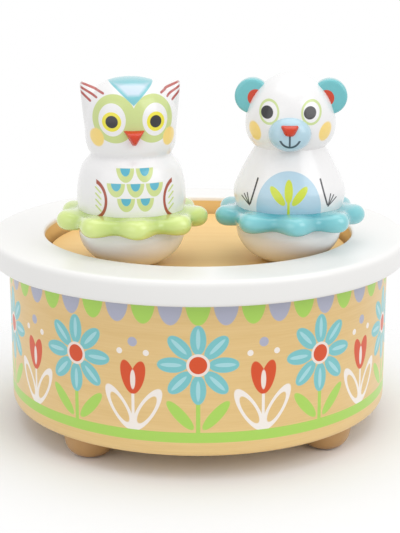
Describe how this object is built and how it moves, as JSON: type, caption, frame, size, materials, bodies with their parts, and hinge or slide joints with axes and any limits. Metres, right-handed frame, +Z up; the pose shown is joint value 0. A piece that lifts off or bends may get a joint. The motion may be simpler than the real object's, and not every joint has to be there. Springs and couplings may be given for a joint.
{
  "type": "wind-up musical box",
  "caption": "round wooden wind-up music box whose stage carries an owl and a bear in swim rings, turned by magnets under the stage",
  "frame": {"origin": "on the floor under the drum's axis", "axes": "+Z up along the drum's axis, the figures look along -Y, +X to the viewer's right"},
  "size_m": [0.118, 0.118, 0.101],
  "materials": {
    "printed_wood": "clear satin lacquer over print",
    "white_paint": "satin white paint",
    "stage_wood": "bare, fine sanded",
    "base_wood": "bare plywood",
    "foot_wood": "clear satin lacquer",
    "steel": "bright",
    "cast_zinc": "plain cast",
    "brass": "bright",
    "spring_steel": "blued",
    "key_metal": "plated",
    "carrier_plastic": "moulded",
    "magnet": "plated",
    "nylon": "moulded",
    "white_lacquer": "gloss white with painted details",
    "red_gloss": "gloss",
    "lime_gloss": "gloss",
    "teal_gloss": "gloss",
    "pale_blue_gloss": "gloss",
    "dowel_wood": "bare",
    "felt": "felt"
  },
  "bodies": {
    "drum": {"drum_shell": "printed_wood", "rim_ring": "white_paint", "stage_disc": "stage_wood", "base_plate": "base_wood", "feet": "foot_wood", "base_screws": "steel", "bedplate": "cast_zinc", "arbor_bush": "brass", "click": "steel", "tone_comb": "steel", "comb_screws": "steel", "movement_screws": "steel", "worm_bridge": "cast_zinc"},
    "winder": {"winding_arbor": "steel", "winding_key": "key_metal", "ratchet_wheel": "steel"},
    "barrel": {"spring_barrel": "brass", "barrel_cap": "brass", "mainspring": "spring_steel", "carrier_spindle": "steel", "magnet_carrier": "carrier_plastic", "carrier_magnets": "magnet", "carrier_screw": "steel"},
    "cylinder": {"music_cylinder": "brass", "cylinder_arbor": "steel", "crown_pinion": "brass", "cylinder_gear": "brass"},
    "governor": {"governor_shaft": "steel", "worm_wheel": "nylon"},
    "fan": {"worm_shaft": "steel", "air_brake": "nylon"},
    "owl": {"owl_body": "white_lacquer", "owl_beak": "red_gloss", "owl_float": "lime_gloss", "owl_base": "white_lacquer", "owl_dowel": "dowel_wood", "owl_magnet": "magnet", "owl_felt_pad": "felt"},
    "bear": {"bear_body": "white_lacquer", "bear_left_ear": "teal_gloss", "bear_right_ear": "teal_gloss", "bear_muzzle": "pale_blue_gloss", "bear_nose": "red_gloss", "bear_float": "teal_gloss", "bear_base": "white_lacquer", "bear_dowel": "dowel_wood", "bear_magnet": "magnet", "bear_felt_pad": "felt"}
  },
  "joints": [
    {"name": "key_wind", "type": "hinge", "parent": "drum", "child": "winder", "pos_m": [0, 0, 0.008], "axis": [0, 0, 1], "continuous": true},
    {"name": "carrier_turn", "type": "hinge", "parent": "drum", "child": "barrel", "pos_m": [0, 0, 0.03], "axis": [0, 0, 1], "continuous": true},
    {"name": "cylinder_turn", "type": "hinge", "parent": "drum", "child": "cylinder", "pos_m": [0.01468, 0, 0.02366], "axis": [1, 0, 0], "continuous": true},
    {"name": "governor_turn", "type": "hinge", "parent": "drum", "child": "governor", "pos_m": [0.03338, -0.008, 0.02366], "axis": [1, 0, 0], "continuous": true},
    {"name": "fan_turn", "type": "hinge", "parent": "drum", "child": "fan", "pos_m": [0.03418, -0.01375, 0.02366], "axis": [0, 0, 1], "continuous": true},
    {"name": "owl_twirl", "type": "hinge", "parent": "barrel", "child": "owl", "pos_m": [-0.01795, -0.0205, 0.06], "axis": [0, 0, 1], "continuous": true},
    {"name": "bear_twirl", "type": "hinge", "parent": "barrel", "child": "bear", "pos_m": [0.0248, -0.0165, 0.06], "axis": [0, 0, 1], "continuous": true}
  ],
  "couplings": [
    {"joint": "cylinder_turn", "follows": "carrier_turn", "ratio": 3},
    {"joint": "governor_turn", "follows": "carrier_turn", "ratio": -9},
    {"joint": "fan_turn", "follows": "carrier_turn", "ratio": -144}
  ]
}
